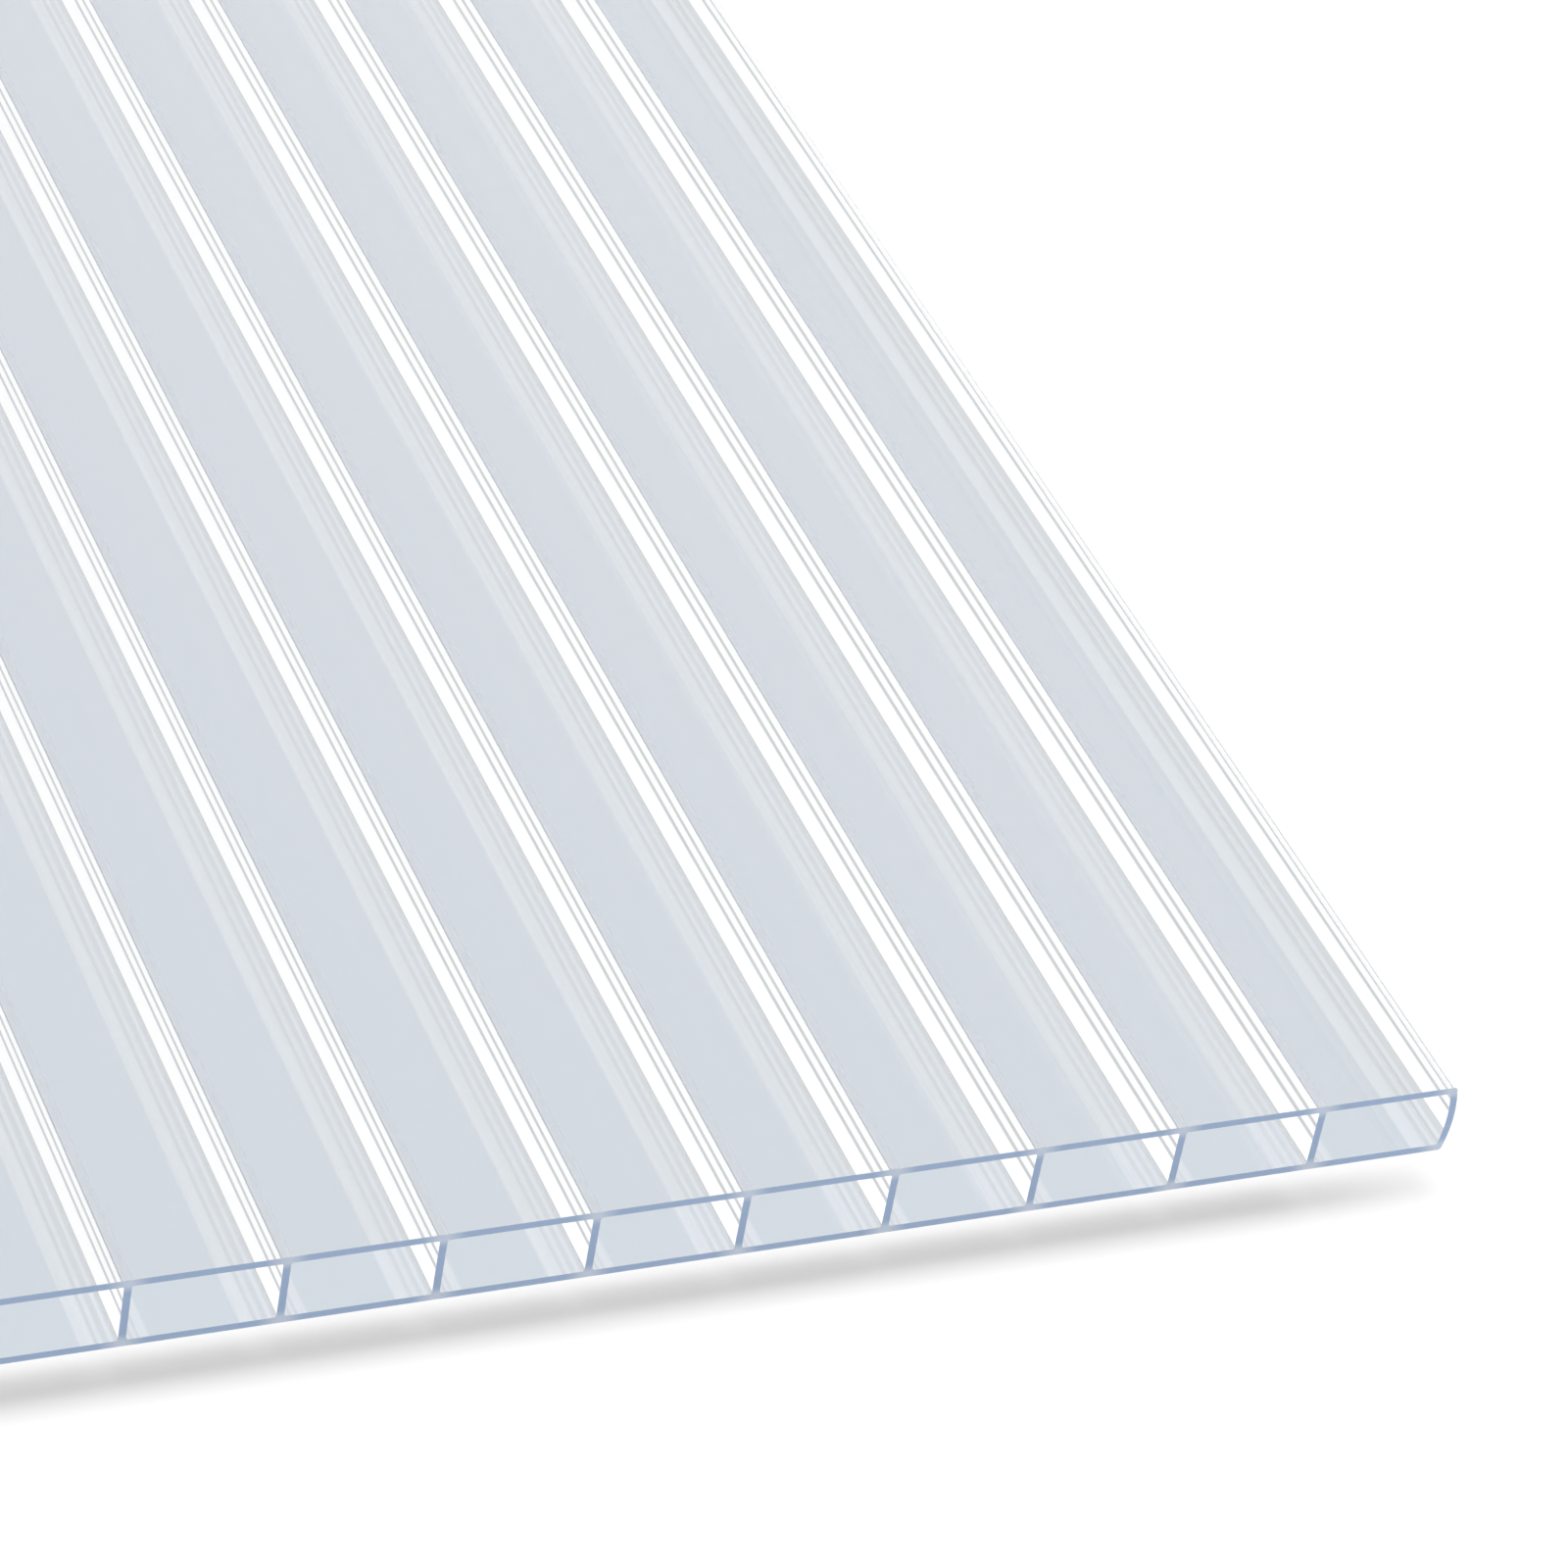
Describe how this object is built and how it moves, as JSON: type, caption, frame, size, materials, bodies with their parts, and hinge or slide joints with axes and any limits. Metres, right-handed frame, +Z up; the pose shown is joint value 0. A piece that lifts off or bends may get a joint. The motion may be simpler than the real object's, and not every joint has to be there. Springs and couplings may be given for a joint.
{
  "type": "multiwall polycarbonate sheet",
  "caption": "Flat clear twin-wall polycarbonate sheet: thin skins held apart by upright ribs, with long open flutes and closed, slightly bowed edges, for glazing roofs.",
  "frame": {"origin": "centre of the sheet's underside, as it lies flat on a level floor", "axes": "+X across the ribs, towards one closed long edge; +Y along the ribs and the open flutes; +Z up through the thickness"},
  "size_m": [1.2, 2, 0.016],
  "materials": {
    "clear_polycarbonate": "clear extruded polycarbonate with a very slight blue tint, glossy skins, pale ribs and satin blue sawn ends"
  },
  "bodies": {
    "root": {"twin_wall_sheet": "clear_polycarbonate"}
  },
  "joints": []
}
